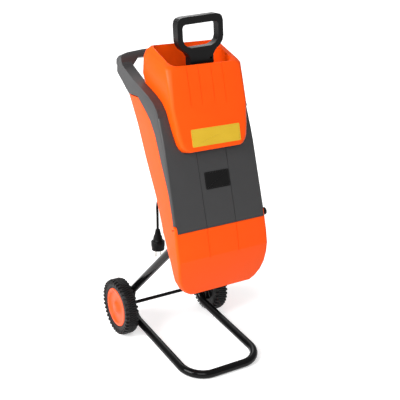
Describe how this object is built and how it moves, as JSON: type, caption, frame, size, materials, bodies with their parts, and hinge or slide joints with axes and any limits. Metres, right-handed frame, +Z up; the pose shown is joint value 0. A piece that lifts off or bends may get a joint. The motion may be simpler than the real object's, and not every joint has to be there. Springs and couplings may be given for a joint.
{
  "type": "garden shredder",
  "caption": "Electric garden shredder: a leaning hopper body with a hinged cover, inner cutter motor and chip chute on a wheeled tube stand, with a loose feed pusher.",
  "frame": {"origin": "on the ground under the middle of the whole object's outer box", "axes": "+Z up, -Y towards the front with the hopper face and the chute, wheels at +Y"},
  "size_m": [0.3298, 0.431, 0.9044],
  "materials": {
    "foot_tube": "gloss",
    "left_leg_tube": "gloss",
    "right_leg_tube": "gloss",
    "leg_screws": "satin",
    "axle_rod": "satin",
    "left_spacer": "satin",
    "right_spacer": "satin",
    "rear_housing": "satin",
    "left_hinge_pin": "satin",
    "right_hinge_pin": "satin",
    "motor_cover": "satin",
    "motor_flange": "cast",
    "housing_screws": "satin",
    "counter_blade": "satin",
    "front_bearing": "satin",
    "bearing_bracket": "cast",
    "rear_bearing": "satin",
    "field_core": "satin",
    "field_coils": "satin",
    "brush_holders": "satin",
    "carbon_brushes": "matte",
    "capacitor": "satin",
    "switch_box": "satin",
    "cable_gland": "matte",
    "mains_lead": "matte",
    "plug_body": "matte",
    "plug_pins": "satin",
    "interlock_switch": "satin",
    "left_tyre": "matte",
    "left_hub": "satin",
    "left_hub_cap": "satin",
    "right_tyre": "matte",
    "right_hub": "satin",
    "right_hub_cap": "satin",
    "front_cover": "satin",
    "latch_plate": "satin",
    "hopper": "satin",
    "label_plate": "bare",
    "badge_plate": "satin",
    "hopper_screws": "satin",
    "pusher": "satin",
    "rotor_shaft": "satin",
    "armature_core": "satin",
    "armature_windings": "satin",
    "commutator": "satin",
    "cooling_fan": "satin",
    "cutter_disc": "satin",
    "cutter_blades": "satin",
    "blade_screws": "satin",
    "disc_nut": "satin",
    "lock_knob": "satin",
    "switch_rocker": "gloss",
    "reset_button": "satin",
    "interlock_plunger": "satin"
  },
  "bodies": {
    "stand_and_housing": {"foot_tube": "foot_tube", "left_leg_tube": "left_leg_tube", "right_leg_tube": "right_leg_tube", "leg_screws": "leg_screws", "axle_rod": "axle_rod", "left_spacer": "left_spacer", "right_spacer": "right_spacer", "rear_housing": "rear_housing", "left_hinge_pin": "left_hinge_pin", "right_hinge_pin": "right_hinge_pin", "motor_cover": "motor_cover", "motor_flange": "motor_flange", "housing_screws": "housing_screws", "counter_blade": "counter_blade", "front_bearing": "front_bearing", "bearing_bracket": "bearing_bracket", "rear_bearing": "rear_bearing", "field_core": "field_core", "field_coils": "field_coils", "brush_holders": "brush_holders", "carbon_brushes": "carbon_brushes", "capacitor": "capacitor", "switch_box": "switch_box", "cable_gland": "cable_gland", "mains_lead": "mains_lead", "plug_body": "plug_body", "plug_pins": "plug_pins", "interlock_switch": "interlock_switch"},
    "left_wheel": {"left_tyre": "left_tyre", "left_hub": "left_hub", "left_hub_cap": "left_hub_cap"},
    "right_wheel": {"right_tyre": "right_tyre", "right_hub": "right_hub", "right_hub_cap": "right_hub_cap"},
    "cover": {"front_cover": "front_cover", "latch_plate": "latch_plate", "hopper": "hopper", "label_plate": "label_plate", "badge_plate": "badge_plate", "hopper_screws": "hopper_screws"},
    "pusher": {"pusher": "pusher"},
    "rotor": {"rotor_shaft": "rotor_shaft", "armature_core": "armature_core", "armature_windings": "armature_windings", "commutator": "commutator", "cooling_fan": "cooling_fan", "cutter_disc": "cutter_disc", "cutter_blades": "cutter_blades", "blade_screws": "blade_screws", "disc_nut": "disc_nut"},
    "lock_knob": {"lock_knob": "lock_knob"},
    "switch_rocker": {"switch_rocker": "switch_rocker"},
    "reset_button": {"reset_button": "reset_button"},
    "interlock_plunger": {"interlock_plunger": "interlock_plunger"}
  },
  "joints": [
    {"name": "left_wheel_spin", "type": "hinge", "parent": "stand_and_housing", "child": "left_wheel", "pos_m": [-0.1455, 0.1355, 0.08], "axis": [1, 0, 0], "continuous": true},
    {"name": "right_wheel_spin", "type": "hinge", "parent": "stand_and_housing", "child": "right_wheel", "pos_m": [0.1455, 0.1355, 0.08], "axis": [1, 0, 0], "continuous": true},
    {"name": "cover_open", "type": "hinge", "parent": "stand_and_housing", "child": "cover", "pos_m": [0, -0.1521, 0.40679], "axis": [1, 0, 0], "range_deg": [0, 75]},
    {"name": "pusher_lift", "type": "slide", "parent": "cover", "child": "pusher", "axis": [-0.0523, 0, 0.9986], "range_m": [0, 0.21]},
    {"name": "cutter_spin", "type": "hinge", "parent": "stand_and_housing", "child": "rotor", "pos_m": [0, -0.06532, 0.48977], "axis": [0, -0.4802, 0.8771], "continuous": true},
    {"name": "lock_knob_turn", "type": "hinge", "parent": "stand_and_housing", "child": "lock_knob", "pos_m": [0, 0.07372, 0.69083], "axis": [0, 0.6223, 0.7828], "range_deg": [0, 270]},
    {"name": "switch_rocker_tilt", "type": "hinge", "parent": "stand_and_housing", "child": "switch_rocker", "pos_m": [0, 0.03668, 0.49089], "axis": [-1, 0, 0], "range_deg": [0, 12]},
    {"name": "reset_press", "type": "slide", "parent": "stand_and_housing", "child": "reset_button", "axis": [0, -0.8771, -0.4802], "range_m": [0, 0.004], "stiffness_N_per_m": 400},
    {"name": "interlock_slide", "type": "slide", "parent": "stand_and_housing", "child": "interlock_plunger", "axis": [0, -0.9598, 0.2807], "range_m": [0, 0.004]}
  ],
  "couplings": [
    {"joint": "interlock_slide", "follows": "cover_open", "m_per_rad": 0.003}
  ]
}
